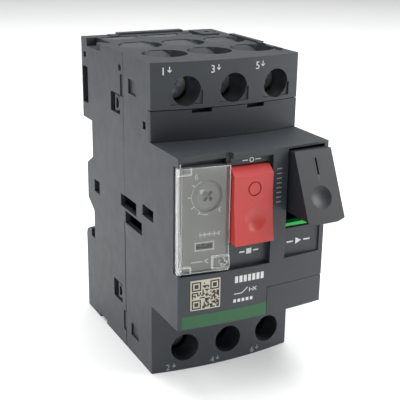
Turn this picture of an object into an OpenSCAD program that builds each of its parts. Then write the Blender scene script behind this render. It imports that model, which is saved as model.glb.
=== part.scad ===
// Three-pole motor protection breaker for a 35 mm rail.
// Lengths are millimetres. Every shape is first placed from the back plane, the
// bottom face and the middle of the width: depth grows towards the front.
// The finished part is then moved so that its origin is the middle of the rail seat.

/* [Casing] */
// Width of the casing
body_w = 44.5; // [44.4:0.1:45]
// Height of the casing
body_h = 89; // [88.8:0.1:90]
// Depth of the rear base, from the back plane to the seam
base_d = 33; // [32.9:0.1:33.2]
// Depth of the terminal fronts at their outer corners
front_d = 51.6; // [51.4:0.1:52]
// Bulge of the terminal fronts in the middle of the width
front_bow = 2.25; // [1.5:0.25:3]
// Depth of the nose at its outer corners
nose_d = 68.3; // [68.2:0.1:68.6]
// Bulge of the nose in the middle of the width
nose_bow = 1.4; // [1:0.1:1.6]
// Height of the underside of the nose
nose_low = 21.3; // [21:0.1:21.5]
// Height of the top of the nose
nose_high = 68.1; // [68:0.1:68.3]
// Thickness of the side walls
wall = 1.6; // [1.4:0.1:1.7]

/* [Rail seat] */
// Depth of the rail flange's front face
seat_d = 7.5; // [7.4:0.1:7.6]
// Lower edge of the rail slot
rail_low = 29.1; // [29:0.1:29.2]
// Height of the rail slot
rail_slot = 35.3; // [35.2:0.1:35.6]

/* [Poles] */
// Distance between neighbouring poles
pole_pitch = 13.6; // [13.5:0.05:13.65]
// Sideways position of the middle pole
pole_shift = 1.1; // [1:0.05:1.2]
// Radius of the upper screw-access holes
line_hole_r = 3.95; // [3.8:0.05:4]
// Radius of the lower screw-access holes
load_hole_r = 4.15; // [3.8:0.05:4.2]
// Height of the upper clamp screws
line_z = 81.3; // [81.2:0.1:81.4]
// Height of the lower clamp screws
load_z = 7; // [6.8:0.1:7.2]

/* [Buttons and cover] */
// Angle of the start button's face to the vertical
start_tilt = 25.4; // [25:0.1:25.6]
// Angle of the clear cover to the front
cover_tilt = 8.75; // [8.25:0.25:9.25]
// Radius of the setting dial
dial_r = 4.1; // [3.9:0.05:4.15]

/* [Hidden] */
$fn = 48;
half_w = body_w / 2;
inner_x = half_w - wall;
seam_gap = 0.15;
housing_back = base_d + seam_gap;
rail_high = rail_low + rail_slot;
seat_z = rail_low + rail_slot / 2;
far = 90;

poles = [for (i = [-1:1]) pole_shift + i * pole_pitch];
partitions = [for (i = [-0.5, 0.5]) pole_shift + i * pole_pitch];
partition_t = 1.2;

front_plate_d = 50.1;
seam_z = 76.5;
rim_h = 0.5;
nose_wall_d = 64.5;
pocket_d = 65.65;
panel_d = 68;

cover_x = [-half_w + 0.05, -7.95];
cover_z = [36.9, 65.3];
cover_t = 1;
cover_axis = [-half_w + 0.85, 67.15];
cover_d = [66.4, 67.9];
bar_right = -20.7;
field_x = [-20.2, -8.5];
field_d = [66.7, 68.05];
dial_x = -13.55;
dial_z = 57.2;
dial_front = 67.4;
cam_slope = 0.227;
test_x = [-16.6, -12];
test_z = [42.9, 44.55];

well_x = [-20.2, -9.2];
stop_wall = -8.4;
stop_x = [-7.7, 3.7];
stop_axis = [63.2, 62.2];
start_x = [9.35, 20.7];
start_axis = [66.2, 64.8];
start_top = [71.6, 67.15];
pin_r = 0.9;
hinge_pin_r = 0.4;
run_gap = 0.05;

bar_d = [35.3, 36.8];
saddle_d = [41.2, 42.2];
head_d = [42.25, 44.9];
collar_d = 45.6;
collar_t = 1.4;
screw_r = 2;
contact_z = 62;
slide_z = [47.2, 49.2];
carrier_d = [38, 42];
frame_d = [49.8, 50.6];
closing_axis = [54, 42];
trip_axis = [9.5, 52.3];

shell = "#3d444a";
shell_dark = "#2b3037";
steel = "#b9bcc0";
copper = "#b87748";
brass = "#c9a352";
silver = "#dcdfe2";
cream = "#d9d3c1";

// ---- placing ----

module in_frame() translate([0, seat_d, -seat_z]) children();

// A block between two widths, two depths and two heights
module block(x, d, z) translate([x[0], -d[1], z[0]]) cube([x[1] - x[0], d[1] - d[0], z[1] - z[0]]);

// A side outline of [depth, height] points, drawn out across the width
module across(x, outline)
    translate([x[0], 0, 0]) rotate([90, 0, 90])
        linear_extrude(x[1] - x[0]) polygon([for (p = outline) [-p[0], p[1]]]);

// A front outline of [x, height] points, drawn out through the depth
module through(d, outline)
    translate([0, -d[0], 0]) rotate([90, 0, 0]) linear_extrude(d[1] - d[0]) polygon(outline);

// A plan outline of [x, depth] points, drawn up through the height
module upright(z, outline)
    translate([0, 0, z[0]]) linear_extrude(z[1] - z[0]) polygon([for (p = outline) [p[0], -p[1]]]);

module rod_x(x, d, z, r) translate([x[0], -d, z]) rotate([0, 90, 0]) cylinder(h = x[1] - x[0], r = r);
module rod_y(x, z, d, r) translate([x, -d[0], z]) rotate([90, 0, 0]) cylinder(h = d[1] - d[0], r = r);
module rod_z(x, d, z, r) translate([x, -d, z[0]]) cylinder(h = z[1] - z[0], r = r);

// Everything behind a front that bulges by bow between corners at depth d
module behind(d, bow) {
    r = (half_w * half_w + bow * bow) / (2 * bow);
    translate([0, r - d - bow, -1]) cylinder(h = body_h + 4, r = r, $fn = 240);
}

// A helical spring standing on z = 0
function coil_ring(r, wire, height, turns, i, steps, sides) =
    let (a = 360 * turns * i / steps, z = wire + (height - 2 * wire) * i / steps)
    [for (k = [0:sides - 1]) let (b = 360 * k / sides)
        [(r + wire * cos(b)) * cos(a), (r + wire * cos(b)) * sin(a), z + wire * sin(b)]];

module coil_spring(r, wire, height, turns) {
    sides = 6;
    steps = turns * 10;
    points = [for (i = [0:steps]) each coil_ring(r, wire, height, turns, i, steps, sides)];
    skin = [for (i = [0:steps - 1], k = [0:sides - 1]) let (n = (k + 1) % sides)
        [i * sides + k, (i + 1) * sides + k, (i + 1) * sides + n, i * sides + n]];
    polyhedron(points, concat(skin, [[for (k = [0:sides - 1]) k]],
        [[for (k = [sides - 1:-1:0]) steps * sides + k]]));
}

module spring_y(x, z, d, r, wire, turns)
    translate([x, -d[0], z]) rotate([90, 0, 0]) coil_spring(r, wire, d[1] - d[0], turns);

// ---- casing ----

base_outline = [[0, 0], [10.6, 0], [10.6, 1.2], [16.5, 1.2], [16.5, 0], [base_d, 0],
    [base_d, body_h], [0, body_h], [0, rail_high], [seat_d, rail_high], [seat_d, 53], [2.5, 50.1],
    [2.4, 38.6], [seat_d, 35.5], [seat_d, 26], [4.6, 26], [4.6, 28.4], [3.4, 28.6],
    [0.6, 27.2], [0, 25.5]];

// A round pocket in the top, from depth back, whose floor falls towards the front
module wire_pocket(x, d, r, back, fall) intersection() {
    rod_z(x, d, [70, far], r);
    across([x - r - 1, x + r + 1], [[back, far], [d + r + 1, far], [d + r + 1, body_h - fall],
        [back, body_h - 0.2]]);
}

module snap_windows(side)
    for (w = [[[23.8, 30.6], [71.2, 76.8]], [[23.5, 30.2], [13.1, 19.1]]])
        block(side > 0 ? [inner_x - 1, far] : [-far, -inner_x + 1], w[0], w[1]);

module base_cavity() {
    top = body_h - 4.6;
    block([-inner_x, inner_x], [10, far], [wall, top]);
    block([-inner_x, inner_x], [8, 11], [66, top]);
    block([-inner_x, inner_x], [8, 11], [wall, 24]);
}

module base_partitions() for (x = partitions)
    block([x - partition_t / 2, x + partition_t / 2], [7, base_d], [1, body_h - 4]);

module base_shell() {
    clip_half = 7.2;
    difference() {
        across([-half_w, half_w], base_outline);
        difference() {
            base_cavity();
            base_partitions();
        }
        snap_windows(-1);
        snap_windows(1);
        block([-clip_half, clip_half], [-1, 6.2], [-1, 30]);
        for (x = poles) {
            wire_pocket(x, 5, 6.1, 5.3, 3.6);
            wire_pocket(x, 22.6, 6.3, 17, 3.8);
        }
        block([-far, -18.9], [4.6, 16], [body_h - 2.3, far]);
        for (side = [-1, 1])
            block(side > 0 ? [half_w - 9, far] : [-far, -half_w + 9], [0.6, 5], [69.2, 80.4]);
        block([-far, -half_w + 0.8], [1.8, 3.9], [83.2, 84.8]);
        rod_x([-far, -half_w + 1.2], 30.8, 84.4, 1);
        block([-far, -half_w + 0.35], [31, base_d + 1], [76.6, 82.7]);
        block([-far, -half_w + 0.35], [31, base_d + 1], [5, 11.4]);
        block([-far, -half_w + 0.8], [base_d - 0.3, base_d + 1], [-1, 40]);
        block([-far, -inner_x + 1], [8.4, 12.8], [42.2, 46.2]);
        block([-far, -inner_x + 1], [30.2, base_d + 1], [44.4, 48]);
    }
}

module rear_base() color(shell) in_frame() {
    difference() {
        union() {
            base_shell();
            block([-11.1, 10.7], [0, 2.6], [body_h - 1, body_h + 0.6]);
            block([-14.3, -11.5], [1.2, 5.1], [body_h - 1, body_h + 0.3]);
            block([12.6, 18.4], [3, 12.8], [body_h - 3.5, body_h + 0.5]);
            block([inner_x, half_w], [15, base_d], [body_h - 1, body_h + rim_h]);
        }
        block([15.6, 17], [7, 9], [body_h - 0.2, far]);
    }
    rod_z(-20.6, 12.4, [body_h - 3, body_h - 0.5], 1.3);
    for (x = [[-14, -8], [8, 14]]) block(x, [3.9, 6.2], [rail_high - 1.8, rail_high + 0.5]);
    rod_y(-19.2, contact_z, [9, 24], 1.15);
    block([-1.6, 1.6], [2.6, 6.4], [11.3, 12.4]);
}

// A D with its round side to the front
module d_shape(x, z, r) {
    block(x, [28.5 - r, 27.6], [z - r, z + r]);
    intersection() {
        rod_x(x, 27.6, z, r);
        block(x, [27.5, 31], [z - r, z + r]);
    }
}

// The D-shaped snaps that reach back into the base's side windows
module snap_arms() for (side = [-1, 1]) mirror([side > 0 ? 0 : 1, 0, 0])
    for (z = [74, 16.1]) {
        block([inner_x - 1.3, inner_x - 0.15], [24.5, housing_back + 2], [z - 2.6, z + 2.6]);
        block([inner_x - 1.3, inner_x + 0.1], [housing_back, housing_back + 2], [z - 2.6, z + 2.6]);
        difference() {
            d_shape([inner_x - 0.2, half_w - 0.4], z, 2.3);
            d_shape([half_w - 1.5, far], z, 1.5);
        }
    }

module housing_outside() {
    intersection() {
        block([-half_w, half_w], [housing_back, 60], [0, body_h]);
        behind(front_d, front_bow);
    }
    intersection() {
        block([-half_w, half_w], [45, 75], [nose_low, nose_high]);
        behind(nose_d, nose_bow);
    }
}

module housing_inside() {
    block([-inner_x, inner_x], [30, front_plate_d], [wall, far]);
    block([-inner_x, inner_x], [45, nose_wall_d], [nose_low + 1.7, nose_high - 1.4]);
}

module housing_partitions() {
    difference() {
        for (x = partitions) {
            across_wall = [x - partition_t / 2, x + partition_t / 2];
            block(across_wall, [housing_back, 49.8], [1, 84]);
            block(across_wall, [49, front_plate_d + 0.1], [1, nose_low]);
            block(across_wall, [49, front_plate_d], [nose_high + 0.1, 84]);
        }
        block([-far, far], [30, 44], [55, 69.6]);
        block([-far, far], [36, 50], [46.2, 50.4]);
    }
}

// Shelves behind the terminal tails
module terminal_shelves() for (z = [[73.2, 74.4], [14, 15.2]])
    block([-inner_x - 0.1, inner_x + 0.1], [33.2, bar_d[0]], z);

module side_windows() {
    outer = [-far, -half_w + 0.6];
    open = [-far, -inner_x + 1];
    block(outer, [36.9, 42.3], [78.5, 82.5]);
    block(outer, [36.8, 42.2], [5.7, 9.8]);
    block(open, [46.6, 48.5], [70.8, 72.9]);
    block(open, [30, 41.6], [44.4, 48.2]);
    block(open, [33.6, 45.4], [40, 43.7]);
    block(open, [45.9, 53.2], [46.4, 49.6]);
}

module nose_openings() {
    front = 80;
    block([-half_w + 0.45, stop_wall], [pocket_d, front], [36.3, 66.6]);
    block([-far, -20], [pocket_d, front], [36.7, 65.6]);
    block(well_x, [60, front], [38.2, 64]);
    block([-21.6, -7.35], [67.6, front], [65.3, far]);
    block([stop_wall, 3.85], [60, front], [43, 64.5]);
    block([stop_wall, 4.4], [panel_d, front], [36.4, 66.6]);
    block([9.05, 20.95], [57, front], [44.8, 67.5]);
    block([9.05, 20.75], [panel_d, front], [36.9, 46]);
    block([3.85, far], [60, front], [nose_low - 1, 29.5]);
}

module button_lugs() {
    for (x = [[well_x[1], stop_wall], [3.85, 5.5]]) block(x, [60, nose_wall_d + 1], [59.5, 64.9]);
    for (x = [[-inner_x - 0.1, -18.2]])
        for (z = [[52.4, 53.6], [59, 60.2]]) block(x, [51.5, 57], z);
}

module front_housing() color(shell) in_frame() {
    difference() {
        union() {
            difference() {
                housing_outside();
                housing_inside();
            }
            housing_partitions();
            terminal_shelves();
            button_lugs();
            for (x = poles) rod_y(x, load_z, [collar_d, front_plate_d + 0.1], load_hole_r + collar_t);
        }
        block([-far, far], [front_plate_d, 60], [nose_high, far]);
        nose_openings();
        side_windows();
        for (x = poles) {
            rod_y(x, load_z, [45, 60], load_hole_r);
            block([x - 5, x + 5], [36.9, 41.7], [-1, 3]);
        }
        rod_x([-9.4, 5.4], stop_axis[0], stop_axis[1], pin_r);
        rod_x([7.6, 21.7], start_axis[0], start_axis[1], pin_r);
        rod_z(-19.3, 54, [52.4, 60.2], 0.8);
        for (z = cover_z) rod_z(cover_axis[0], cover_axis[1], [z - 1.9, z + 1.9], hinge_pin_r);
    }
    snap_arms();
}

// Curved ramp that guides a wire past the back of its funnel
module wire_ramp(x) intersection() {
    rod_z(x, 39.2, [80, body_h], 6.4);
    across([x - 6.4, x + 4.2], [[33.2, body_h - 0.2], [36.9, 85.2], [36.9, 84.4], [35.2, 84.8],
        [33.2, 86.2]]);
}

module upper_terminal_cover() color(shell) in_frame() {
    top_x = inner_x - run_gap;
    difference() {
        intersection() {
            union() {
                block([-half_w, half_w], [front_plate_d, 60], [seam_z + 0.1, body_h]);
                block([-top_x, top_x], [housing_back, front_plate_d + 1], [85.4, body_h]);
                block([inner_x - 1, top_x], [housing_back, 46], [85.4, body_h + rim_h]);
                intersection() {
                    for (x = poles) rod_y(x, line_z, [collar_d, 51], line_hole_r + collar_t);
                    block([-far, far], [40, 60], [seam_z + 0.1, body_h - 1]);
                }
            }
            behind(front_d, front_bow);
        }
        for (x = poles) {
            rod_z(x, 39.2, [70, far], 6.3);
            rod_y(x, line_z, [45, 60], line_hole_r);
            intersection() {
                block([x - 4.5, x + 4.5], [45, 60], [seam_z + 1.2, line_z]);
                difference() {
                    behind(front_d, front_bow);
                    behind(front_d - 0.5, front_bow);
                }
            }
        }
    }
    for (x = poles) wire_ramp(x);
}

module closing_plate() color(shell_dark) in_frame() difference() {
    intersection() {
        block([-half_w, half_w], [front_plate_d, 60], [nose_high, seam_z - 0.1]);
        behind(front_d, front_bow);
    }
    for (x = [[-11.1, -5.4], [5.3, 10.7]]) block(x, [front_plate_d + 1, 60], [seam_z - 1.1, far]);
}

module aux_slot_cover() color(shell) in_frame() difference() {
    intersection() {
        block([4, half_w], [61, 75], [nose_low, 29.35]);
        behind(nose_d, nose_bow);
    }
    block([5.4, inner_x], [60, 67], [nose_low + 1.4, 28]);
}

// ---- setting field ----

module setting_plate() color("#7d817f") in_frame() difference() {
    upright([37.1, 65], [[-21.6, pocket_d], [field_x[1], pocket_d], [field_x[1], field_d[1]],
        [field_x[0], field_d[0]], [field_x[0], 66], [-21.6, 66]]);
    rod_y(dial_x, dial_z, [60, 70], dial_r + 0.08);
    block(test_x, [60, 70], test_z);
}

module cross_cut(x, z, d, reach, width) {
    for (a = [45, 135]) translate([x, 0, z]) rotate([0, a, 0])
        block([-reach, reach], d, [-width / 2, width / 2]);
}

module setting_dial() color("#8b8f8c") in_frame() difference() {
    union() {
        rod_y(dial_x, dial_z, [64.8, dial_front - 0.45], dial_r);
        translate([dial_x, 0.46 - dial_front, dial_z]) rotate([90, 0, 0])
            cylinder(h = 0.46, r1 = dial_r, r2 = dial_r - 1);
        rod_y(dial_x, dial_z, [57.8, 65], 1.6);
        rod_y(dial_x, dial_z, [55, 58], 2.6);
    }
    upright([50, 62], [[dial_x - 4, 50], [dial_x + 4, 50], [dial_x + 4, 55.9 + 4 * cam_slope],
        [dial_x - 4, 55.9 - 4 * cam_slope]]);
    cross_cut(dial_x, dial_z, [66.3, 70], 1.6, 0.9);
}

module compensation_lever() color(steel) in_frame() difference() {
    union() {
        rod_z(-19.3, 54, [53.7, 58.9], 1.2);
        block([-19.3, dial_x + 2], [53.4, 54.6], [54, 58.6]);
        block([dial_x + 1.1, dial_x + 1.9], [54.4, 55.95], [dial_z - 0.4, dial_z + 0.4]);
    }
    rod_z(-19.3, 54, [50, 62], 0.8 + run_gap);
}

module compensation_pin() color(steel) in_frame() rod_z(-19.3, 54, [52.4, 60.2], 0.8);

// Clear cover, drawn square and then turned about its hinge
module clear_cover() color("#cfd8d8", 0.4) in_frame() swing_cover() {
    right = cover_x[1];
    difference() {
        union() {
            block([cover_x[0], right], [cover_d[1] - cover_t, cover_d[1]], cover_z);
            block([cover_x[0], bar_right], cover_d, cover_z);
            for (z = [[cover_z[0], cover_z[0] + 1.8], [cover_z[1] - 1.8, cover_z[1]]])
                block([cover_x[0], cover_x[0] + 3.8], [cover_d[0] + 0.25, cover_d[1] + 0.2], z);
            block([right - 4.6, right], [cover_d[0] + 0.25, cover_d[1] + 0.4], [37.6, 41]);
        }
        rod_y(right - 1.7, 39.3, [60, 75], 0.9);
        rod_z(cover_axis[0], cover_axis[1], [30, 70], hinge_pin_r + run_gap);
    }
}

module swing_cover() {
    translate([cover_axis[0], -cover_axis[1], 0]) rotate([0, 0, -cover_tilt])
        translate([-cover_axis[0], cover_axis[1], 0]) children();
}

module cover_hinge_pins() color(steel) in_frame() for (z = cover_z)
    rod_z(cover_axis[0], cover_axis[1], [z - 1.7, z + 1.7], hinge_pin_r);

module code_label() color(cream) in_frame() intersection() {
    block([-18.75, -10.35], [60, 75], [26.5, 35]);
    difference() {
        behind(nose_d + 0.12, nose_bow);
        behind(nose_d, nose_bow);
    }
}

// ---- buttons ----

// Points on an arc about an axis, angles measured from straight ahead
function arc_about(axis, r0, r1, a0, a1, steps) = [for (i = [0:steps])
    let (a = a0 + (a1 - a0) * i / steps, r = r0 + (r1 - r0) * i / steps)
    [axis[0] + r * cos(a), axis[1] + r * sin(a)]];

// Front profile of the stop button, hollowed by an arc between top and bottom
function hollow_front(top, bottom, sag, steps) = [for (i = [0:steps]) let (t = i / steps)
    [top[0] + (bottom[0] - top[0]) * t - sag * 4 * t * (1 - t), top[1] + (bottom[1] - top[1]) * t]];

module stop_button() color("#c8393b") in_frame() {
    top = [71, 62.3];
    bottom = [72.4, 44];
    difference() {
        union() {
            across(stop_x, concat([[65, 60], [65.4, 64.2], [68.7, 64.2]],
                hollow_front(top, bottom, 0.5, 12), [[65, 44]]));
            rod_x(stop_x, stop_axis[0], stop_axis[1], 1.7);
            block(stop_x, [stop_axis[0], 66], [60.6, 63.9]);
        }
        across([stop_x[0] + 1.4, stop_x[1] - 1.4], [[60, 42], [60, 60.2], [66, 60.2], [69.4, 58],
            [69.6, 45.4], [64, 45.4], [64, 42]]);
        rod_x([-far, far], stop_axis[0], stop_axis[1], pin_r + run_gap);
        translate([-1.6, -76.5, 50.95]) sphere(r = 6, $fn = 64);
        difference() {
            rod_y(-1.7, 58.5, [70.45, 75], 1.95);
            rod_y(-1.7, 58.5, [70, 75], 1.6);
        }
    }
    rod_y(-2.5, 53, [67.6, 70.2], 1.5);
}

module stop_pin() color(steel) in_frame() rod_x([-9.4, 5.4], stop_axis[0], stop_axis[1], pin_r);

module stop_spring() color(steel) in_frame() spring_y(-2.5, 53, [58.45, 69.55], 2.1, 0.25, 6);

module on_start_face() translate([0, -start_top[0], start_top[1]]) rotate([-start_tilt, 0, 0])
    children();

module start_outline(x) across(x, concat([[start_axis[0], start_axis[1] + 1.7], start_top],
    arc_about(start_axis, 20.6, 19.7, -48, -62, 4), arc_about(start_axis, 19.6, 19.6, -64, -84.7, 5),
    arc_about(start_axis, 18.6, 18.6, -84.7, -92, 3), [[64.9, 63.5]]));

module start_hollow(x) across(x, concat([[62, 61.6], [71, 62.6]],
    arc_about(start_axis, 18.1, 18, -52, -74, 6), arc_about(start_axis, 17.2, 17.2, -76, -104, 4)));

module start_button() color("#353b44") in_frame() {
    difference() {
        union() {
            intersection() {
                start_outline(start_x);
                rod_y(15.05, 65.6, [50, 90], 16.4);
            }
            rod_x(start_x, start_axis[0], start_axis[1], 1.7);
        }
        start_hollow([start_x[0] + 1.3, start_x[1] - 1.3]);
        rod_x([-far, far], start_axis[0], start_axis[1], pin_r + run_gap);
        on_start_face() translate([14.8, -6.5, -12.65]) sphere(r = 7.2, $fn = 64);
        on_start_face() translate([15, -0.5, -6.65]) cube([0.5, 1, 4.5]);
    }
    across([11.6, 13], [[start_axis[0], 63], [71, 63.4], [75.6, 55], [74, 52], [57.2, 55.6],
        [57.2, 58.4], [64.4, 60.4]]);
}

module start_skirt() color("#1b9a45") in_frame()
    across([start_x[0] + 0.15, start_x[1] - 0.15], concat(
        arc_about(start_axis, 19.6, 19.6, -85, -93, 4),
        arc_about(start_axis, 18.6, 18.6, -93, -85, 4)));

module start_pin() color(steel) in_frame()
    rod_x([7.6, 21.7], start_axis[0], start_axis[1], pin_r);

module start_spring() color(steel) in_frame() spring_y(16.9, 55.5, [56.45, 73.3], 2, 0.25, 8);

// ---- mechanism ----

module mechanism_frame() color(steel) in_frame() {
    difference() {
        union() {
            block([-6.3, 6.7], frame_d, [33, 55.6]);
            block([6.6, 14.4], frame_d, [50.8, 55.2]);
            block([14.3, 19.4], frame_d, [50.8, 58]);
            for (x = [[-4.5, -3.7], [5.9, 6.7]]) block(x, [frame_d[0], 57], [36, 50]);
            rod_y(-2.5, 53, [frame_d[0], 58.4], 1.8);
            rod_y(16.9, 55.5, [frame_d[0], 56.4], 2.2);
        }
        rod_x([-far, far], closing_axis[0], closing_axis[1], 1);
        rod_y(trip_axis[0], trip_axis[1], [40, 60], 0.8);
        block([-0.3, 5.2], [40, 60], [46, 60]);
    }
}

module closing_lever() color("#8f9499") in_frame() difference() {
    union() {
        rod_x([0.2, 4.6], closing_axis[0], closing_axis[1], 2.3);
        across([0.2, 4.6], [[52, 42], [56, 42], [55, 58], [54.6, 64], [42.5, 64], [42.5, 60.5],
            [51.2, 60.5], [51.6, 56]]);
        rod_x([4.4, 13.4], 54, 57.5, 1.2);
    }
    rod_x([-far, far], closing_axis[0], closing_axis[1], 1 + run_gap);
}

module closing_pin() color(steel) in_frame() rod_x([-5.2, 7.4], closing_axis[0], closing_axis[1], 1);

module trip_lever() color(brass) in_frame() difference() {
    union() {
        rod_y(trip_axis[0], trip_axis[1], [51, 52.4], 1.9);
        block([8.4, 9.3], [51, 52.4], [47.4, 52]);
        block([9.6, 12.2], [51, 52.4], [52.4, 55.2]);
    }
    rod_y(trip_axis[0], trip_axis[1], [40, 60], 0.8 + run_gap);
}

module trip_pin() color(steel) in_frame() rod_y(trip_axis[0], trip_axis[1], [frame_d[0], 52.9], 0.8);

module trip_slide() color("#e4dfd0") in_frame() difference() {
    union() {
        block([-18.4, 19.4], [38.2, 46.6], slide_z);
        block([9.6, 10.6], [46.4, 52.5], [slide_z[0], slide_z[0] + 1]);
        block([-14.6, -13.4], [46.4, 65.4], slide_z);
        block([-14.6, -13.4], [63.9, 65.4], [41.4, slide_z[1]]);
        block([-18.4, -16.6], [38.2, 40.4], [41.2, slide_z[1]]);
    }
    for (x = poles) block([x - 0.95, x + 2.6], [39.4, 45.6], [40, 60]);
}

module trip_spring() color(steel) in_frame()
    translate([-20.6, -42.5, 48.2]) rotate([0, 90, 0]) coil_spring(0.8, 0.18, 2.2, 3);

module contact_carrier() color("#7a2f24") in_frame() difference() {
    union() {
        block([-20.2, 19.6], carrier_d, [59.4, 64.6]);
        for (x = poles) {
            rod_y(x, contact_z, [35.4, 38.5], 3.7);
            for (side = [-1, 1]) block([x + side * 4.2 - 0.6, x + side * 4.2 + 0.6], [32.2, 38.5],
                [60.2, 63.8]);
            for (side = [-1, 1]) block([x + side * 3.6 - 0.9, x + side * 3.6 + 0.9], [32.2, 33.35],
                [60.2, 63.8]);
        }
    }
    for (x = poles) rod_y(x, contact_z, [30, 40.6], 2.9);
}

module contact_springs() color(steel) in_frame()
    for (x = poles) spring_y(x, contact_z, [34.65, 40.6], 2.2, 0.28, 4);

module contact_bridge(i) color(copper) in_frame() {
    x = poles[i - 1];
    block([x - 2.6, x + 2.6], [33.4, 34.6], [contact_z - 8.4, contact_z + 8.4]);
    for (side = [-1, 1]) rod_y(x, contact_z + side * 5.8, [32.6, 33.5], 1.8);
}

module opening_spring() color(steel) in_frame()
    spring_y(-19.2, contact_z, [24.1, 37.9], 0.85, 0.2, 9);

// ---- terminals and contacts ----

module line_terminal(i) color(copper) in_frame() {
    x = poles[i - 1];
    difference() {
        union() {
            block([x - 5.2, x + 5.2], bar_d, [74.6, 83.6]);
            rod_y(x, line_z - 1.2, [33.6, 35.5], 3.4);
        }
        rod_y(x, line_z, [30, 50], screw_r + run_gap);
    }
    block([x - 2.4, x + 2.4], bar_d, [71.4, 75]);
    block([x - 2.4, x + 2.4], [28, bar_d[1]], [71.4, 72.8]);
    block([x - 2.4, x + 2.4], [28, 29.4], [66, 72.8]);
    rod_y(x, contact_z + 5.8, [29.2, 29.6], 1.8);
}

module load_terminal(i) color(copper) in_frame() {
    x = poles[i - 1];
    difference() {
        union() {
            block([x - 5.2, x + 5.2], bar_d, [2.6, 13]);
            rod_y(x, load_z + 1, [33.6, 35.5], 3.4);
        }
        rod_y(x, load_z, [30, 50], screw_r + run_gap);
    }
    block([x - 2.4, x + 2.4], bar_d, [12, 24.4]);
    block([x - 2.4, x + 2.4], [bar_d[0], 46], [23.2, 24.4]);
    block([x - 2.4, x + 2.4], [28, 29.4], [43.6, 58]);
    block([x - 2.4, x + 2.4], [28, 38.9], [43.6, 44.9]);
    rod_y(x, contact_z - 5.8, [29.2, 29.6], 1.8);
}

module clamp_screw(x, z) difference() {
    union() {
        rod_y(x, z, [32.4, 42.5], screw_r);
        rod_y(x, z, head_d, 3.4);
    }
    for (a = [0, 90]) translate([x, 0, z]) rotate([0, a + 35, 0])
        block([-2, 2], [43.6, 46], [-0.5, 0.5]);
}

module line_screw(i) color(steel) in_frame() clamp_screw(poles[i - 1], line_z);
module load_screw(i) color(steel) in_frame() clamp_screw(poles[i - 1], load_z);

module saddles(z) color(brass) in_frame() for (x = poles) difference() {
    block([x - 4.9, x + 4.9], saddle_d, [z - 3.9, z + 3.1]);
    rod_y(x, z, [36, 46], screw_r + 0.3);
}

module line_saddles() saddles(line_z);
module load_saddles() saddles(load_z);

module magnet_coil(i) color(copper) in_frame() difference() {
    rod_y(poles[i - 1], contact_z, [12.2, 24.6], 5);
    rod_y(poles[i - 1], contact_z, [0, 40], 3.4);
}

module magnet_cores() color(steel) in_frame() for (x = poles) difference() {
    union() {
        rod_y(x, contact_z, [10, 25.8], 3.3);
        rod_y(x, contact_z, [10, 11.6], 5.4);
        rod_y(x, contact_z, [24.8, 25.8], 5.4);
    }
    rod_y(x, contact_z, [14, 30], 1.85);
}

module plunger(i) color(silver) in_frame() {
    rod_y(poles[i - 1], contact_z, [17, 24.5], 1.8);
    rod_y(poles[i - 1], contact_z, [24, 27.8], 1);
}

module bimetal(i) color("#a9a48f") in_frame()
    block([poles[i - 1] - 0.5, poles[i - 1] + 0.5], [40.2, 44.6], [24.4, 50]);

module heaters() color("#c7a27c") in_frame() for (x = poles) difference() {
    block([x - 1.9, x + 1.9], [38.9, 45.9], [29, 45]);
    block([x - 0.8, x + 0.8], [39.9, 44.9], [20, 50]);
    for (z = [30.4:2:44]) {
        block([x - 3, x - 1.4], [30, 50], [z, z + 0.6]);
        block([x + 1.4, x + 3], [30, 50], [z, z + 0.6]);
    }
}

module chute(x, z, back, open_up) {
    for (k = [0:4]) difference() {
        block([x - 4.7, x + 4.7], [13.6 + k * 2.2, 14.4 + k * 2.2], z);
        through([10, 30], [[x - 1.6, open_up ? z[1] + 1 : z[0] - 1],
            [x + 1.6, open_up ? z[1] + 1 : z[0] - 1], [x, (z[0] + z[1]) / 2]]);
    }
    for (side = [-1, 1]) block([x + side * 4.95 - 0.3, x + side * 4.95 + 0.3], [back, 24.3], z);
}

module arc_chutes() color("#9aa0a4") in_frame() for (x = poles) {
    chute(x, [72.9, 83.6], 8, false);
    chute(x, [40, 51.6], 10, true);
}

// ---- rail clip ----

module rail_clip() color("#22262b") in_frame() difference() {
    union() {
        block([-6.9, 6.9], [2.2, 5.9], [3, 28.4]);
        across([-6.9, 6.9], [[2.2, 28.3], [5.9, 28.3], [6.2, 31], [5.2, 31], [2.2, 29.4]]);
    }
    block([-2.6, 2.6], [-1, 10], [11, 23]);
    block([-2, 2], [-1, 10], [5, 8]);
}

module clip_spring() color(steel) in_frame()
    translate([0, -4.1, 12.45]) coil_spring(1.5, 0.25, 10.5, 5);

rear_base();
front_housing();
upper_terminal_cover();
closing_plate();
aux_slot_cover();
setting_plate();
setting_dial();
compensation_lever();
compensation_pin();
clear_cover();
cover_hinge_pins();
stop_button();
stop_pin();
stop_spring();
start_button();
start_skirt();
start_pin();
start_spring();
mechanism_frame();
closing_lever();
closing_pin();
trip_lever();
trip_pin();
trip_slide();
trip_spring();
contact_carrier();
opening_spring();
contact_springs();
contact_bridge(1);  // contact_bridge_1
contact_bridge(2);  // contact_bridge_2
contact_bridge(3);  // contact_bridge_3
line_terminal(1);  // line_terminal_1
line_terminal(2);  // line_terminal_2
line_terminal(3);  // line_terminal_3
load_terminal(1);  // load_terminal_1
load_terminal(2);  // load_terminal_2
load_terminal(3);  // load_terminal_3
line_screw(1);  // line_screw_1
line_screw(2);  // line_screw_2
line_screw(3);  // line_screw_3
load_screw(1);  // load_screw_1
load_screw(2);  // load_screw_2
load_screw(3);  // load_screw_3
line_saddles();
load_saddles();
magnet_coil(1);  // magnet_coil_1
magnet_coil(2);  // magnet_coil_2
magnet_coil(3);  // magnet_coil_3
magnet_cores();
plunger(1);  // plunger_1
plunger(2);  // plunger_2
plunger(3);  // plunger_3
bimetal(1);  // bimetal_1
bimetal(2);  // bimetal_2
bimetal(3);  // bimetal_3
heaters();
arc_chutes();
rail_clip();
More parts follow.
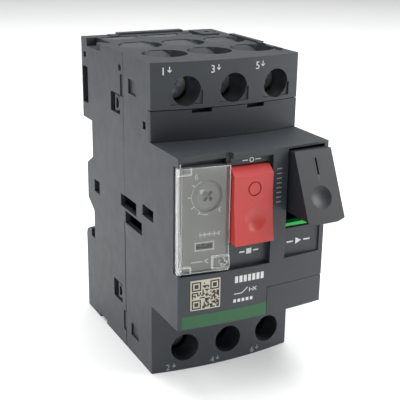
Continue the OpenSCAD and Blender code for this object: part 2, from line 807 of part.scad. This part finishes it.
clip_spring();
code_label();
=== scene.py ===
import math
import random

import bmesh
import bpy
from mathutils import Matrix, Vector


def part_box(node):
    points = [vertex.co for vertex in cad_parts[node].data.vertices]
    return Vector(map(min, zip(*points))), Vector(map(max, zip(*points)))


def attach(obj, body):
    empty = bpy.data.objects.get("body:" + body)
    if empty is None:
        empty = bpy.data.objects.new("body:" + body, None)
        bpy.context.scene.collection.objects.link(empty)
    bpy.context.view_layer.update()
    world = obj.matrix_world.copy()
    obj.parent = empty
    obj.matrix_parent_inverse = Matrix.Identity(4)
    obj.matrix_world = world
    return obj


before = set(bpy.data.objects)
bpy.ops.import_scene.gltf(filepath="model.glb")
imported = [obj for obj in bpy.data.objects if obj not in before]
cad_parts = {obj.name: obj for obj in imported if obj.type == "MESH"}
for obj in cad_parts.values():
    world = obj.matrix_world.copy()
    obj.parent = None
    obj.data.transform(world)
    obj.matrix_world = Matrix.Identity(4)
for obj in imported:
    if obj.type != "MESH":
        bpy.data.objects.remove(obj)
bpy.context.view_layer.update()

MM = 0.001
BACK_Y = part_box("rear_base")[1].y
BOTTOM_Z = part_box("rear_base")[0].z
HALF_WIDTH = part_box("rear_base")[1].x
POLES = [sum(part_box(f"bimetal_{i}")[k].x for k in (0, 1)) / 2 for i in (1, 2, 3)]


def at(x, depth, height):
    """A point given in mm: across from the middle, forward of the back, above the bottom."""
    return Vector((x * MM, BACK_Y - depth * MM, BOTTOM_Z + height * MM))


def bulge(tip_y, bow):
    """The y of a front that bulges by bow between its corners, as a function of x."""
    radius = (HALF_WIDTH**2 + bow**2) / (2 * bow)
    return lambda x: tip_y + radius - math.sqrt(radius**2 - x * x)


def flat(y):
    """The y of a flat front."""
    return lambda x: y


def sloped(left, right):
    """The y of a front that is straight in plan between two (x, depth) points in mm."""
    rise = (right[1] - left[1]) / (right[0] - left[0])
    return lambda x: BACK_Y - (left[1] + (x / MM - left[0]) * rise) * MM


NOSE_BOW = 1.4 * MM
TERMINAL_BOW = 2.25 * MM
NOSE_FRONT = bulge(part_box("front_housing")[0].y, NOSE_BOW)
TERMINAL_FRONT = bulge(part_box("closing_plate")[0].y, TERMINAL_BOW)
PANEL_FRONT = flat(at(0, 68, 0).y)
PLATE_FRONT = sloped((-20.2, 66.7), (-8.5, 68.05))


# ---- materials ----


class Surface:
    """One procedural material, built a layer at a time from object-space textures."""

    def __init__(self, name, **sockets):
        self.material = bpy.data.materials.new(name)
        self.material.use_nodes = True
        self.tree = self.material.node_tree
        self.shader = self.tree.nodes["Principled BSDF"]
        for socket, value in sockets.items():
            self.shader.inputs[socket.replace("_", " ")].default_value = value
        self.place = self.add("ShaderNodeTexCoord").outputs["Object"]
        self.bumped = None

    def add(self, kind, **settings):
        """A new shader node with the given settings."""
        node = self.tree.nodes.new(kind)
        for key, value in settings.items():
            setattr(node, key, value)
        return node

    def feed(self, node, socket, value):
        """Links a socket to an input, or sets the input to a constant."""
        if isinstance(value, bpy.types.NodeSocket):
            self.tree.links.new(value, node.inputs[socket])
        else:
            node.inputs[socket].default_value = value

    def noise(self, scale, detail=2.0, stretch=(1, 1, 1), rough=0.5):
        """Noise with `scale` features a metre."""
        mapping = self.add("ShaderNodeMapping")
        self.feed(mapping, "Vector", self.place)
        mapping.inputs["Scale"].default_value = stretch
        node = self.add("ShaderNodeTexNoise")
        self.feed(node, "Vector", mapping.outputs["Vector"])
        self.feed(node, "Scale", scale)
        self.feed(node, "Detail", detail)
        self.feed(node, "Roughness", rough)
        return node.outputs["Fac"]

    def span(self, value, low, high, to_low=0.0, to_high=1.0):
        """value, remapped from low..high to to_low..to_high and clamped."""
        node = self.add("ShaderNodeMapRange")
        for socket, number in zip(("Value", "From Min", "From Max", "To Min", "To Max"),
                                  (value, low, high, to_low, to_high)):
            self.feed(node, socket, number)
        return node.outputs["Result"]

    def blend(self, share, first, second):
        """A colour between first and second."""
        node = self.add("ShaderNodeMix", data_type="RGBA")
        for index, value in ((0, share), (6, first), (7, second)):
            if isinstance(value, bpy.types.NodeSocket):
                self.tree.links.new(value, node.inputs[index])
            else:
                node.inputs[index].default_value = value
        return node.outputs[2]

    def edges(self, radius):
        """Near 1 on a convex or concave edge, 0 on a flat face."""
        rounded = self.add("ShaderNodeBevel", samples=4)
        self.feed(rounded, "Radius", radius)
        true_normal = self.add("ShaderNodeNewGeometry").outputs["Normal"]
        dot = self.add("ShaderNodeVectorMath", operation="DOT_PRODUCT")
        self.tree.links.new(rounded.outputs["Normal"], dot.inputs[0])
        self.tree.links.new(true_normal, dot.inputs[1])
        return self.span(dot.outputs["Value"], 0.98, 0.75)

    def bump(self, height, strength, distance):
        """Adds a layer of relief on top of the layers before it."""
        node = self.add("ShaderNodeBump")
        self.feed(node, "Height", height)
        self.feed(node, "Strength", strength)
        self.feed(node, "Distance", distance)
        if self.bumped:
            self.tree.links.new(self.bumped, node.inputs["Normal"])
        self.bumped = node.outputs["Normal"]
        self.tree.links.new(self.bumped, self.shader.inputs["Normal"])

    def finish(self, colour, roughness):
        """Sets colour and roughness, and gives the material."""
        self.feed(self.shader, "Base Color", colour)
        self.feed(self.shader, "Roughness", roughness)
        return self.material


def rgb(text):
    """A linear RGBA colour from an sRGB hex string."""
    parts = [int(text[i:i + 2], 16) / 255 for i in (0, 2, 4)]
    return (*[c / 12.92 if c <= 0.04045 else ((c + 0.055) / 1.055) ** 2.4 for c in parts], 1)


def scaled(colour, factor):
    """A lighter or darker version of a colour."""
    return (*[min(1, c * factor) for c in colour[:3]], 1)


def moulded(name, colour, rough=(0.42, 0.56), grain=0.25, wear_and_edge_highlight=0.35, tone=0.12, **sockets):
    """Moulded plastic: spark-eroded grain, cloudy flow, edges lightened in patches (partly rubbed
    wear, partly painted edge highlight) and a few hairline scuffs.
    """
    s = Surface(name, **sockets)
    cloud = s.noise(90, 4)
    base = s.blend(s.span(cloud, 0.3, 0.7), scaled(colour, 1 - tone), scaled(colour, 1 + tone))
    if wear_and_edge_highlight:
        # Patchy lighter edges, convex and concave: partly rubbed wear, partly a painted edge
        # highlight.
        patchy = s.span(s.noise(420, 3), 0.35, 0.7, 0.2, 1.0)
        worn_and_highlit_edges = s.add("ShaderNodeMath", operation="MULTIPLY")
        s.feed(worn_and_highlit_edges, 0, s.edges(0.35 * MM))
        s.feed(worn_and_highlit_edges, 1, patchy)
        strength = s.add("ShaderNodeMath", operation="MULTIPLY")
        s.feed(strength, 0, worn_and_highlit_edges.outputs[0])
        s.feed(strength, 1, wear_and_edge_highlight)
        base = s.blend(strength.outputs[0], base, scaled(colour, 2.6))
    scuff = s.span(s.noise(260, 5, (1, 1, 14), 0.65), 0.66, 0.74, 0.0, 0.16)
    base = s.blend(scuff, base, scaled(colour, 2.2))
    s.bump(s.noise(5200, 2), grain, 0.03 * MM)
    s.bump(s.noise(700, 2), grain * 0.4, 0.02 * MM)
    return s.finish(base, s.span(s.noise(240, 3), 0.3, 0.7, *rough))


def metal(name, colour, rough=(0.25, 0.42), brushed=(1, 1, 30), tarnish=0.2, scale=900):
    """Turned or stamped metal with a brushed grain and a little tarnish."""
    s = Surface(name, Metallic=1.0)
    grain = s.noise(scale, 3, brushed)
    stained = s.span(s.noise(160, 4), 0.45, 0.75, 0.0, tarnish)
    base = s.blend(s.span(grain, 0.3, 0.7), scaled(colour, 0.86), scaled(colour, 1.08))
    base = s.blend(stained, base, scaled(colour, 0.45))
    s.bump(grain, 0.25, 0.02 * MM)
    return s.finish(base, s.span(grain, 0.25, 0.75, *rough))


def wound_copper(name):
    """Enamelled copper wire laid in close turns along the depth of the casing, with painted shade in
    the grooves between turns and a painted highlight on each crown.
    """
    s = Surface(name, Metallic=1.0)
    wave = s.add("ShaderNodeTexWave", wave_type="BANDS", bands_direction="Y")
    s.feed(wave, "Vector", s.place)
    s.feed(wave, "Scale", 310.0)
    s.bump(wave.outputs["Fac"], 0.9, 0.25 * MM)
    # Colour follows the bump: painted shade in the groove between turns, painted highlight on each
    # turn's crown.
    dark, light = rgb("8a4a22"), rgb("c9814d")
    base = s.blend(wave.outputs["Fac"], dark, light)
    return s.finish(base, s.span(s.noise(500), 0.3, 0.7, 0.25, 0.4))


def clear_plastic(name):
    """Clear polycarbonate with hairline scratches, and edges frosted by the mould and made less clear,
    which paints a whitish highlight along them.
    """
    s = Surface(name, IOR=1.46)
    haze = s.noise(150, 3)
    scratch = s.span(s.noise(500, 5, (1, 1, 20), 0.7), 0.62, 0.72)
    s.bump(scratch, 0.06, 0.01 * MM)
    frost_and_highlight_edge = s.edges(0.45 * MM)
    # Less transmission at the edges makes them read whitish: a painted highlight along the edges.
    s.feed(s.shader, "Transmission Weight", s.span(frost_and_highlight_edge, 0.0, 1.0, 1.0, 0.25))
    rough = s.add("ShaderNodeMath", operation="MAXIMUM")
    s.feed(rough, 0, s.span(haze, 0.3, 0.7, 0.01, 0.05))
    s.feed(rough, 1, s.span(frost_and_highlight_edge, 0.0, 1.0, 0.0, 0.45))
    tint = s.blend(s.span(haze, 0.3, 0.7), rgb("fafcfc"), rgb("ffffff"))
    return s.finish(tint, rough.outputs[0])


def ink(name, colour, rough=0.5):
    """Pad-printed ink, slightly uneven."""
    s = Surface(name)
    mottle = s.noise(1600, 3)
    s.bump(mottle, 0.2, 0.01 * MM)
    base = s.blend(s.span(mottle, 0.35, 0.65), scaled(colour, 0.86), colour)
    return s.finish(base, s.span(mottle, 0.3, 0.7, rough - 0.08, rough + 0.08))


def paper(name, colour):
    """Printed paper label with fibres."""
    s = Surface(name)
    fibre = s.noise(2600, 4, (1, 1, 3))
    s.bump(fibre, 0.3, 0.02 * MM)
    base = s.blend(s.span(fibre, 0.3, 0.7), scaled(colour, 0.9), scaled(colour, 1.05))
    return s.finish(base, s.span(fibre, 0.3, 0.7, 0.55, 0.75))


CASING = moulded("casing_plastic", rgb("272c31"), rough=(0.44, 0.5), tone=0.04)
CASING_DARK = moulded("dark_casing_plastic", rgb("191d23"), rough=(0.44, 0.5), wear_and_edge_highlight=0.25,
                      tone=0.04)
SETTING_GREY = moulded("setting_plate_plastic", rgb("787974"), rough=(0.35, 0.48), wear_and_edge_highlight=0.1, tone=0.04)
DIAL_GREY = moulded("dial_plastic", rgb("7b7c78"), rough=(0.35, 0.5), wear_and_edge_highlight=0.2, tone=0.05)
STOP_RED = moulded("stop_button_plastic", rgb("ab2f2c"), rough=(0.4, 0.48), grain=0.08,
                   wear_and_edge_highlight=0.12, tone=0.04, Coat_Weight=0.15, Coat_Roughness=0.25)
START_DARK = moulded("start_button_plastic", rgb("15181d"), rough=(0.4, 0.48), grain=0.1,
                     wear_and_edge_highlight=0.2, tone=0.06)
SKIRT_GREEN = moulded("green_flag_plastic", rgb("12a544"), rough=(0.3, 0.42), grain=0.08,
                      wear_and_edge_highlight=0.1, tone=0.05)
INSULATOR = moulded("slide_plastic", rgb("232322"), wear_and_edge_highlight=0.1)
CARRIER = moulded("carrier_plastic", rgb("6a3026"), wear_and_edge_highlight=0.2)
CLIP_BLACK = moulded("clip_plastic", rgb("1d2024"), wear_and_edge_highlight=0.3)
STEEL = metal("zinc_plated_steel", rgb("b9bcc0"))
DARK_STEEL = metal("spring_steel", rgb("8f949a"), rough=(0.22, 0.35), tarnish=0.35)
COPPER = metal("copper_strip", rgb("c07a4c"), rough=(0.28, 0.45), tarnish=0.3)
BRASS = metal("brass_sheet", rgb("cda653"), rough=(0.25, 0.4))
WINDING = wound_copper("copper_winding")
CLEAR = clear_plastic("clear_cover_plastic")
LABEL = paper("code_label_paper", rgb("b3ae9d"))
WHITE_INK = ink("white_ink", rgb("c9ccca"))
FAINT_INK = ink("faint_white_ink", rgb("8b9195"))
BLACK_INK = ink("black_ink", rgb("1d1c1b"))
GREEN_INK = ink("green_band_ink", rgb("17522c"), rough=0.45)

NODE_MATERIALS = {
    "rear_base": CASING, "front_housing": CASING, "upper_terminal_cover": CASING,
    "closing_plate": CASING_DARK, "aux_slot_cover": CASING, "setting_plate": SETTING_GREY,
    "setting_dial": DIAL_GREY, "clear_cover": CLEAR, "stop_button": STOP_RED,
    "start_button": START_DARK, "start_skirt": SKIRT_GREEN, "trip_slide": INSULATOR,
    "contact_carrier": CARRIER, "rail_clip": CLIP_BLACK, "code_label": LABEL,
    "line_saddles": BRASS, "load_saddles": BRASS, "trip_lever": BRASS, "heaters": COPPER,
    "contact_bridge": COPPER, "line_terminal": COPPER, "load_terminal": COPPER,
    "magnet_coil": WINDING, "stop_spring": DARK_STEEL, "start_spring": DARK_STEEL,
    "trip_spring": DARK_STEEL, "opening_spring": DARK_STEEL, "contact_springs": DARK_STEEL,
    "clip_spring": DARK_STEEL,
}
EDGE_MM = {
    "rear_base": 0.22, "front_housing": 0.22, "upper_terminal_cover": 0.2, "closing_plate": 0.15,
    "aux_slot_cover": 0.22, "clear_cover": 0.25, "stop_button": 0.5, "start_button": 0.45,
    "start_skirt": 0.15, "setting_dial": 0.12, "rail_clip": 0.3,
}
PLAIN_EDGE_MM = 0.1
WELD_REACH = 0.002 * MM
SHARP_ANGLE = math.radians(32)


def soften(node, width):
    """Rounds a CAD node's edges without touching its mesh."""
    weld = node.modifiers.new("weld", "WELD")
    weld.merge_threshold = WELD_REACH
    rounding = node.modifiers.new("rounding", "BEVEL")
    rounding.width = width
    rounding.segments = 2
    rounding.limit_method = "ANGLE"
    rounding.angle_limit = SHARP_ANGLE
    rounding.harden_normals = True
    rounding.use_clamp_overlap = True
    node.modifiers.new("normals", "WEIGHTED_NORMAL").keep_sharp = True


def dress_nodes():
    """Gives every CAD node its material, and all but the springs soft edges."""
    for name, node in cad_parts.items():
        family = name[:-2] if name[-2:] in ("_1", "_2", "_3") else name
        material = NODE_MATERIALS.get(name) or NODE_MATERIALS.get(family, STEEL)
        node.data.materials.clear()
        node.data.materials.append(material)
        if "spring" not in name:
            soften(node, EDGE_MM.get(name, PLAIN_EDGE_MM) * MM)


# ---- printed marks ----

INK_LIFT = 0.03 * MM
INK_SINK = 0.05 * MM
LABEL_LIFT = 0.12 * MM


def bar(x, z, width, height, turn=0.0):
    """A filled bar, as one outline of (x, height) points in mm."""
    c, s = math.cos(math.radians(turn)), math.sin(math.radians(turn))
    corners = [(-width, -height), (width, -height), (width, height), (-width, height)]
    return [(x + (u * c - v * s) / 2, z + (u * s + v * c) / 2) for u, v in corners]


def line(start, end, width):
    """A stroke between two points."""
    dx, dz = end[0] - start[0], end[1] - start[1]
    return bar((start[0] + end[0]) / 2, (start[1] + end[1]) / 2, math.hypot(dx, dz), width,
               math.degrees(math.atan2(dz, dx)))


def strokes(points, width):
    """A line through several points."""
    return [line(a, b, width) for a, b in zip(points, points[1:])]


def ring(x, z, radius, width, start=0, end=360, steps=32):
    """An arc drawn as a chain of short quads."""
    angles = [math.radians(start + (end - start) * i / steps) for i in range(steps + 1)]
    inner = [(x + (radius - width / 2) * math.cos(a), z + (radius - width / 2) * math.sin(a))
             for a in angles]
    outer = [(x + (radius + width / 2) * math.cos(a), z + (radius + width / 2) * math.sin(a))
             for a in angles]
    return [[inner[i], inner[i + 1], outer[i + 1], outer[i]] for i in range(steps)]


def numeral(text, x, z, size):
    """A numeral of the given height in mm, its lower left corner at (x, z)."""
    curve = bpy.data.curves.new("numeral", "FONT")
    curve.body = text
    curve.size = size / 0.73
    curve.resolution_u = 3
    holder = bpy.data.objects.new("numeral", curve)
    mesh = bpy.data.meshes.new_from_object(holder)
    outlines = [[(x + mesh.vertices[i].co.x, z + mesh.vertices[i].co.y) for i in face.vertices]
                for face in mesh.polygons]
    bpy.data.objects.remove(holder)
    bpy.data.meshes.remove(mesh)
    return outlines


def printed(name, outlines, front, material, body="casing"):
    """A thin film of ink that follows a front, made of flat outlines in (x, height) mm."""
    mesh = bmesh.new()
    for outline in outlines:
        rows = []
        for offset in (-INK_LIFT, INK_SINK):
            rows.append([mesh.verts.new((x * MM, front(x * MM) + offset, BOTTOM_Z + z * MM))
                         for x, z in outline])
        mesh.faces.new(rows[0])
        mesh.faces.new(reversed(rows[1]))
        for i, _ in enumerate(outline):
            j = (i + 1) % len(outline)
            mesh.faces.new((rows[0][i], rows[1][i], rows[1][j], rows[0][j]))
    bmesh.ops.recalc_face_normals(mesh, faces=mesh.faces)
    return piece_from(mesh, name, material, body)


def piece_from(mesh, name, material, body):
    """A visible piece that rides on a body."""
    data = bpy.data.meshes.new(name)
    mesh.to_mesh(data)
    mesh.free()
    data.materials.append(material)
    piece = bpy.data.objects.new(name, data)
    bpy.context.scene.collection.objects.link(piece)
    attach(piece, body)
    return piece


def band(x, z, steps):
    """A wide bar cut into strips, so that it can follow a bulge."""
    width = (x[1] - x[0]) / steps
    return [bar(x[0] + width * (i + 0.5), sum(z) / 2, width, z[1] - z[0]) for i in range(steps)]


def terminal_marks():
    """Numbers of the terminals, each with a small arrow for the way the supply flows."""
    for row, top, size, shift, numbers in (("line", 85.7, 2.1, -7.1, "135"),
                                           ("load", 0.5, 1.9, -5.7, "246")):
        outlines = []
        for x, digit in zip(POLES, numbers):
            left = x / MM + shift
            outlines += numeral(digit, left, top, size)
            tip = (left + 2.4, top + 0.7)
            outlines += strokes([(tip[0], top + size), tip], 0.22)
            outlines += strokes([(tip[0] - 0.5, tip[1] + 0.55), tip, (tip[0] + 0.5, tip[1] + 0.55)],
                                0.22)
        printed(f"{row}_terminal_numbers", outlines, TERMINAL_FRONT,
                WHITE_INK if row == "line" else FAINT_INK)


def panel_marks():
    """Stop, start and off signs beside the buttons."""
    off = ring(-1.2, 65.45, 0.55, 0.28) + [bar(-3.1, 65.45, 1.6, 0.28), bar(0.7, 65.45, 1.6, 0.28)]
    stop = [bar(-1.2, 40.3, 1.5, 1.5), bar(-3.3, 40.3, 1.6, 0.4), bar(0.9, 40.3, 1.6, 0.4)]
    start = [[(13.4, 39.8), (15.2, 40.75), (13.4, 41.7)], bar(11.6, 40.75, 2.0, 0.4),
             bar(17.0, 40.75, 2.0, 0.4)]
    printed("panel_signs", off + stop + start, PANEL_FRONT, WHITE_INK)


def nose_marks():
    """Green band, switch symbol and plain placeholder bars on the nose."""
    printed("green_band", band((-21.0, 3.9), (21.45, 25.1), 16), NOSE_FRONT, GREEN_INK)
    title = [bar(-5.6 + 1.3 * i, 33.4, 0.9, 1.9) for i in range(7)]
    symbol = strokes([(-6.2, 29.3), (-3.9, 29.3), (-2.2, 30.7)], 0.22)
    symbol += [line((-1.6, 29.3), (-1.6, 30.5), 0.2), line((-1.6, 29.9), (-0.6, 29.9), 0.2),
               line((-0.6, 29.4), (0.5, 30.5), 0.2), line((-0.6, 30.5), (0.5, 29.4), 0.2)]
    note = [bar(-6.0 + 1.25 * i, 27.3, 0.8, 0.9) for i in range(5)]
    printed("nose_signs", title + symbol + note, NOSE_FRONT, WHITE_INK)
    dashes = [bar(6.4, 53.4 + 1.3 * i, 1.5, 0.3) for i in range(8)]
    printed("side_dashes", dashes, NOSE_FRONT, FAINT_INK)


def code_cells():
    """A square pattern of cells that encodes nothing."""
    low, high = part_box("code_label")
    cells = 21
    margin = 0.35
    left, bottom = low.x / MM + margin, (low.z - BOTTOM_Z) / MM + margin
    pitch = ((high.x - low.x) / MM - 2 * margin) / cells
    draw = random.Random(7)
    corners = [(0, 0), (0, cells - 7), (cells - 7, cells - 7)]
    outlines = []
    for i in range(cells):
        for j in range(cells):
            filled = draw.random() < 0.48
            for a, b in corners:
                if -1 <= i - a <= 7 and -1 <= j - b <= 7:
                    step = max(abs(i - a - 3), abs(j - b - 3))
                    filled = step in (0, 1, 3)
            if filled:
                outlines.append(bar(left + pitch * (i + 0.5), bottom + pitch * (j + 0.5),
                                    pitch * 0.96, pitch * 0.96))
    label_front = bulge(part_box("front_housing")[0].y - LABEL_LIFT, NOSE_BOW)
    printed("code_cells", outlines, label_front, BLACK_INK)


def around(x, z, reach, angle):
    """A point at a distance from the dial's axis, in the direction of an angle in degrees."""
    return x + reach * math.cos(math.radians(angle)), z + reach * math.sin(math.radians(angle))


def dial_scale(x, z, reach):
    """Arc, ticks, end arrow and one numeral around the dial."""
    fine, bold = 0.16, 0.26
    marks = ring(x, z, reach + 0.25, fine, 112, 243, 24)
    marks += ring(x, z, reach + 0.8, 0.24, 241, 272, 8)
    for angle in (142, 180, 214, 241):
        marks.append(line(around(x, z, reach + 0.4, angle),
                          around(x, z, reach + 1.3, angle), bold))
    tip = around(x, z, reach + 0.7, 308)
    marks += strokes([(tip[0] + 0.75, tip[1] + 0.5), tip, (tip[0] + 0.55, tip[1] - 0.75)], bold)
    return marks + numeral("6", x - 3.7, z + 4.6, 1.7)


def rating_line(left, height):
    """A line with ticks where the current range would be printed."""
    width, pitch = 0.3, 1.3
    marks = strokes([(left, height), (left + 5.3, height)], width)
    for i in range(5):
        tick = left + pitch * i
        marks.append(line((tick, height - 0.6), (tick, height + 0.6), width))
    return marks


def test_arrow(height):
    """A line with an arrow head, below the test window."""
    width = 0.28
    return (strokes([(-13.2, height - 0.6), (-14.2, height), (-13.2, height + 0.6)], width)
            + strokes([(-17.9, height), (-14.8, height)], width))


def window_outline(left, right, low, high, width):
    """Four bars around a window."""
    middle_x, middle_z = (left + right) / 2, (low + high) / 2
    return [bar(middle_x, low, right - left + width, width),
            bar(middle_x, high, right - left + width, width),
            bar(left, middle_z, width, high - low - width),
            bar(right, middle_z, width, high - low - width)]


def dial_pointer(x, z):
    """A triangle on the dial, with its tip, base distance and half width in mm."""
    tip, base, half = 3.1, 1.9, 0.85
    angle = math.radians(140)
    towards = Vector((math.cos(angle), math.sin(angle)))
    across = Vector((-towards.y, towards.x))
    middle = Vector((x, z))
    return [tuple(point) for point in (middle + towards * tip,
                                       middle + towards * base - across * half,
                                       middle + towards * base + across * half)]


def setting_marks():
    """Print on the setting plate and on its dial."""
    dial_low, dial_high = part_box("setting_dial")
    x = (dial_low.x + dial_high.x) / 2 / MM
    z = ((dial_low.z + dial_high.z) / 2 - BOTTOM_Z) / MM
    reach = (dial_high.x - dial_low.x) / 2 / MM
    marks = dial_scale(x, z, reach) + rating_line(x - 2.0, 46.9) + test_arrow(39.5)
    marks += window_outline(-16.8, -11.8, 42.7, 44.75, 0.36)
    printed("setting_scale", marks, PLATE_FRONT, WHITE_INK)
    printed("dial_pointer", [dial_pointer(x, z)], flat(dial_low.y), WHITE_INK,
            "setting_dial")


# ---- camera, floor and light ----

CAMERA_TARGET = Vector((-0.9, -31.2, -1.3)) * MM
CAMERA_DISTANCE = 254.2 * MM
CAMERA_AZIMUTH = -27.155
CAMERA_ELEVATION = 18.678
CAMERA_ROLL = 0.75
CAMERA_LENS = 78.39


def add_camera():
    """The camera, aimed at the target and rolled a little."""
    azimuth, elevation, roll = (math.radians(v) for v in
                                (CAMERA_AZIMUTH, CAMERA_ELEVATION, CAMERA_ROLL))
    back = Vector((math.sin(azimuth) * math.cos(elevation),
                   -math.cos(azimuth) * math.cos(elevation), math.sin(elevation)))
    level = Vector((math.cos(azimuth), math.sin(azimuth), 0))
    right = level * math.cos(roll) + back.cross(level) * math.sin(roll)
    data = bpy.data.cameras.new("camera")
    data.lens = CAMERA_LENS
    data.clip_start = 0.01
    camera = bpy.data.objects.new("camera", data)
    turn = Matrix((right, back.cross(right), back)).transposed().to_4x4()
    camera.matrix_world = Matrix.Translation(CAMERA_TARGET + back * CAMERA_DISTANCE) @ turn
    bpy.context.scene.collection.objects.link(camera)
    bpy.context.scene.camera = camera


def add_floor():
    """A plain pale floor just under the breaker."""
    size = 3.0
    mesh = bmesh.new()
    bmesh.ops.create_grid(mesh, x_segments=8, y_segments=8, size=size)
    data = bpy.data.meshes.new("floor")
    mesh.to_mesh(data)
    mesh.free()
    s = Surface("floor_paint")
    tone = s.blend(s.noise(6, 3), rgb("eceded"), rgb("f4f4f4"))
    data.materials.append(s.finish(tone, s.span(s.noise(40), 0.3, 0.7, 0.7, 0.8)))
    floor = bpy.data.objects.new("floor", data)
    floor.location.z = BOTTOM_Z - 0.05 * MM
    bpy.context.scene.collection.objects.link(floor)


def add_area(name, place, size, power):
    """A square softbox that looks at the camera's target."""
    data = bpy.data.lights.new(name, "AREA")
    data.size = size
    data.energy = power
    lamp = bpy.data.objects.new(name, data)
    lamp.location = place
    lamp.rotation_euler = (CAMERA_TARGET - lamp.location).to_track_quat("-Z", "Y").to_euler()
    bpy.context.scene.collection.objects.link(lamp)


def add_light():
    """Three softboxes and a pale surround."""
    add_area("left_softbox", Vector((-0.75, -0.1, 0.6)), 0.6, 5.6)
    add_area("top_softbox", Vector((0.05, 0.2, 0.85)), 0.8, 9.0)
    add_area("right_softbox", Vector((0.75, -0.45, 0.4)), 0.6, 8.0)
    world = bpy.data.worlds.new("studio")
    world.use_nodes = True
    background = world.node_tree.nodes["Background"]
    background.inputs["Color"].default_value = rgb("fbfbfb")
    background.inputs["Strength"].default_value = 0.38
    bpy.context.scene.world = world
    bpy.context.scene.view_settings.view_transform = "Standard"


add_camera()
dress_nodes()
terminal_marks()
panel_marks()
nose_marks()
code_cells()
setting_marks()
add_floor()
add_light()
